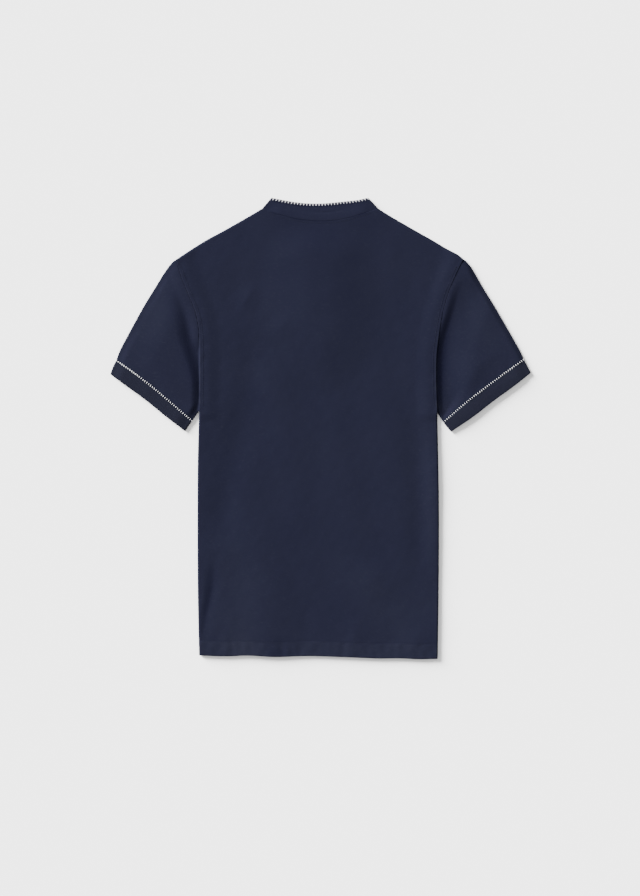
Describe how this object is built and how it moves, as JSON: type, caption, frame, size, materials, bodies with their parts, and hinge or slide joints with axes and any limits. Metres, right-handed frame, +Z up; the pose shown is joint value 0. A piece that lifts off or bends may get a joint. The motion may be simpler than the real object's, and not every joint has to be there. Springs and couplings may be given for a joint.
{
  "type": "mandarin collar shirt",
  "caption": "Short-sleeved knit shirt with a standing mandarin collar, banded cuffs and a plain hem, laid flat with its back up.",
  "frame": {"origin": "centre of the shirt's bounding box, on the surface it rests on", "axes": "+Y from hem to neck, +X across towards the right cuff as seen from above, +Z up out of the back panel"},
  "size_m": [0.66, 0.7235, 0.0076],
  "materials": {
    "navy_knit": "soft knit",
    "cuff_knit": "dense knit",
    "button_plastic": "satin"
  },
  "bodies": {
    "root": {"back": "navy_knit", "front": "navy_knit", "sleeve_left": "navy_knit", "sleeve_right": "navy_knit", "cuff_left": "cuff_knit", "cuff_right": "cuff_knit", "collar": "navy_knit", "placket_upper": "navy_knit", "placket_under": "navy_knit", "button_1": "button_plastic", "button_2": "button_plastic", "button_3": "button_plastic"}
  },
  "joints": []
}
